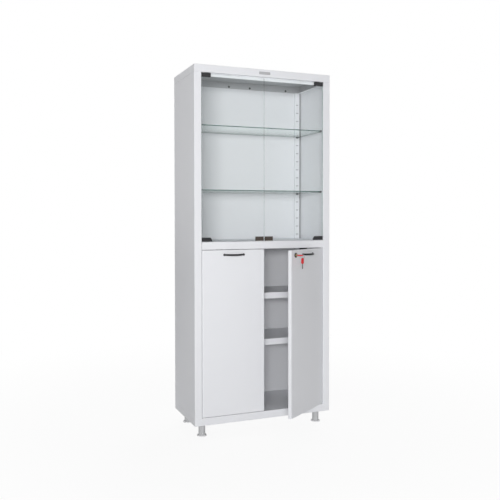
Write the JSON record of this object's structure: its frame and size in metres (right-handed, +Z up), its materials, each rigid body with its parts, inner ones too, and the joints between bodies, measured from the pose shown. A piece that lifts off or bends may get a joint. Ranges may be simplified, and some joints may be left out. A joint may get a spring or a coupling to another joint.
{
  "type": "medical cabinet",
  "caption": "Tall folded-steel medical cabinet on levelling feet, with frameless glass doors over lockable steel doors, glass and steel shelves on hooks, bow handles and a keyed cam lock.",
  "frame": {"origin": "on the floor, below the centre of the carcass footprint, midway between the four feet", "axes": "+Z up, front faces -Y, +X to the right as seen from the front"},
  "size_m": [0.7, 0.5047, 1.715],
  "materials": {
    "white_paint": "smooth semi-gloss white powder coat",
    "clear_glass": "clear toughened sheet glass with green edges",
    "shelf_glass": "clear sheet glass with ground green edges",
    "black_clamp": "satin black coated metal",
    "black_plastic": "glossy black moulded plastic",
    "plain_steel": "bright zinc-plated steel",
    "hook_steel": "grey phosphated spring steel",
    "dark_plate": "dark bronze plated steel",
    "white_nylon": "moulded white nylon",
    "magnet": "dark sintered magnet",
    "lock_brass": "turned brass",
    "red_plastic": "glossy red moulded plastic",
    "foot_metal": "satin grey metal"
  },
  "bodies": {
    "carcass": {"side_panel_left": "white_paint", "side_panel_right": "white_paint", "top_cap": "white_paint", "bottom_pan": "white_paint", "middle_deck": "white_paint", "back_panel": "white_paint", "back_rivets": "plain_steel", "name_plate": "plain_steel", "glass_shelf_lower": "shelf_glass", "glass_shelf_upper": "shelf_glass", "glass_shelf_hooks": "hook_steel", "steel_shelf_lower": "white_paint", "steel_shelf_upper": "white_paint", "steel_shelf_hooks": "hook_steel", "glass_door_bushes": "white_nylon", "steel_door_bushes": "white_nylon", "glass_door_catches": "white_nylon", "steel_door_catches": "black_plastic", "catch_magnets": "magnet", "foot_tubes": "foot_metal"},
    "glass_door_left": {"glass_pane_left": "clear_glass", "top_clamp_left": "black_clamp", "bottom_clamp_left": "black_clamp", "clamp_screws_left": "plain_steel", "glass_pivots_left": "plain_steel", "strike_plate_left": "dark_plate"},
    "glass_door_right": {"glass_pane_right": "clear_glass", "top_clamp_right": "black_clamp", "bottom_clamp_right": "black_clamp", "clamp_screws_right": "plain_steel", "glass_pivots_right": "plain_steel", "strike_plate_right": "dark_plate"},
    "steel_door_left": {"steel_door_left": "white_paint", "handle_left": "black_plastic", "handle_screws_left": "plain_steel", "door_pins_left": "plain_steel", "door_stiffener_left": "white_paint", "bolt_case": "black_plastic"},
    "steel_door_right": {"steel_door_right": "white_paint", "handle_right": "black_plastic", "handle_screws_right": "plain_steel", "door_pins_right": "plain_steel", "door_stiffener_right": "white_paint", "lock_barrel": "black_clamp", "lock_nut": "plain_steel"},
    "slide_bolt": {"slide_bolt": "plain_steel"},
    "lock_plug": {"lock_plug": "lock_brass", "lock_cam": "plain_steel", "cam_screw": "plain_steel"},
    "key": {"key_blade": "plain_steel", "key_head": "red_plastic"},
    "key_ring": {"key_ring": "plain_steel"},
    "spare_key": {"spare_key_blade": "plain_steel", "spare_key_head": "red_plastic"},
    "foot_base_front_left": {"foot_base_front_left": "foot_metal"},
    "foot_base_front_right": {"foot_base_front_right": "foot_metal"},
    "foot_base_rear_left": {"foot_base_rear_left": "foot_metal"},
    "foot_base_rear_right": {"foot_base_rear_right": "foot_metal"}
  },
  "joints": [
    {"name": "glass_door_left_hinge", "type": "hinge", "parent": "carcass", "child": "glass_door_left", "pos_m": [-0.303, -0.153, 1.293], "axis": [0, 0, -1], "range_deg": [0, 110]},
    {"name": "glass_door_right_hinge", "type": "hinge", "parent": "carcass", "child": "glass_door_right", "pos_m": [0.303, -0.153, 1.293], "axis": [0, 0, 1], "range_deg": [0, 110]},
    {"name": "steel_door_left_hinge", "type": "hinge", "parent": "carcass", "child": "steel_door_left", "pos_m": [-0.303, -0.1535, 0.4825], "axis": [0, 0, -1], "range_deg": [0, 110]},
    {"name": "steel_door_right_hinge", "type": "hinge", "parent": "carcass", "child": "steel_door_right", "pos_m": [0.303, -0.1535, 0.4825], "axis": [0, 0, 1], "range_deg": [-34, 76]},
    {"name": "bolt_slide", "type": "slide", "parent": "steel_door_left", "child": "slide_bolt", "axis": [0, 0, 1], "range_m": [0, 0.012]},
    {"name": "lock_turn", "type": "hinge", "parent": "steel_door_right", "child": "lock_plug", "pos_m": [0.08984, -0.30512, 0.845], "axis": [0.5592, -0.829, 0], "range_deg": [0, 90]},
    {"name": "key_slide", "type": "slide", "parent": "lock_plug", "child": "key", "axis": [0.5592, -0.829, 0], "range_m": [0, 0.025]},
    {"name": "ring_swing", "type": "hinge", "parent": "key", "child": "key_ring", "pos_m": [0.10992, -0.33488, 0.845], "axis": [-0.829, -0.5592, 0], "range_deg": [-5, 50]},
    {"name": "spare_key_swing", "type": "hinge", "parent": "key_ring", "child": "spare_key", "pos_m": [0.10992, -0.33488, 0.8295], "axis": [0.5592, -0.829, 0], "range_deg": [-60, 60]},
    {"name": "foot_front_left_level", "type": "slide", "parent": "carcass", "child": "foot_base_front_left", "axis": [0, 0, -1], "range_m": [0, 0.012]},
    {"name": "foot_front_right_level", "type": "slide", "parent": "carcass", "child": "foot_base_front_right", "axis": [0, 0, -1], "range_m": [0, 0.012]},
    {"name": "foot_rear_left_level", "type": "slide", "parent": "carcass", "child": "foot_base_rear_left", "axis": [0, 0, -1], "range_m": [0, 0.012]},
    {"name": "foot_rear_right_level", "type": "slide", "parent": "carcass", "child": "foot_base_rear_right", "axis": [0, 0, -1], "range_m": [0, 0.012]}
  ]
}
